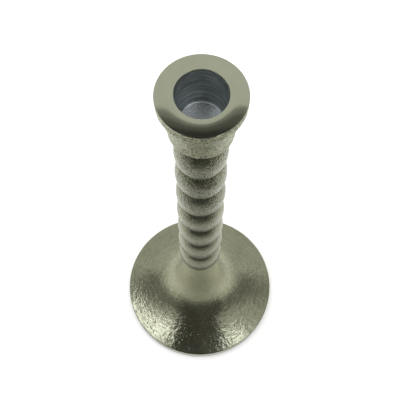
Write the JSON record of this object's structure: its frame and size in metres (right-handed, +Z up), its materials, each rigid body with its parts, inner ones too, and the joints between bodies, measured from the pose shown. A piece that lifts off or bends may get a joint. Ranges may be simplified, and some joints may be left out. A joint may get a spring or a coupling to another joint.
{
  "type": "candlestick",
  "caption": "Cast metal candlestick for one taper candle: flared cup with a bored socket, a stem of stacked bead rings and a wide trumpet foot on felt pads.",
  "frame": {"origin": "on the table at the middle of the foot, level with the underside of the felt pads", "axes": "+Z up along the candle's axis; the object is round, so +X and +Y have no front or side of their own"},
  "size_m": [0.1, 0.1, 0.275],
  "materials": {
    "cast_metal": "sand-cast with a pale grey-gold nickel finish, brushed round the foot, polished on the rim",
    "fastener_steel": "zinc-plated steel",
    "felt": "dark green-grey pressed felt"
  },
  "bodies": {
    "root": {"candle_cup": "cast_metal", "stem": "cast_metal", "foot": "cast_metal", "tie_rod": "fastener_steel", "clamp_washer": "fastener_steel", "lock_washer": "fastener_steel", "clamp_nut": "fastener_steel", "felt_pad_1": "felt", "felt_pad_2": "felt", "felt_pad_3": "felt", "felt_pad_4": "felt"}
  },
  "joints": []
}
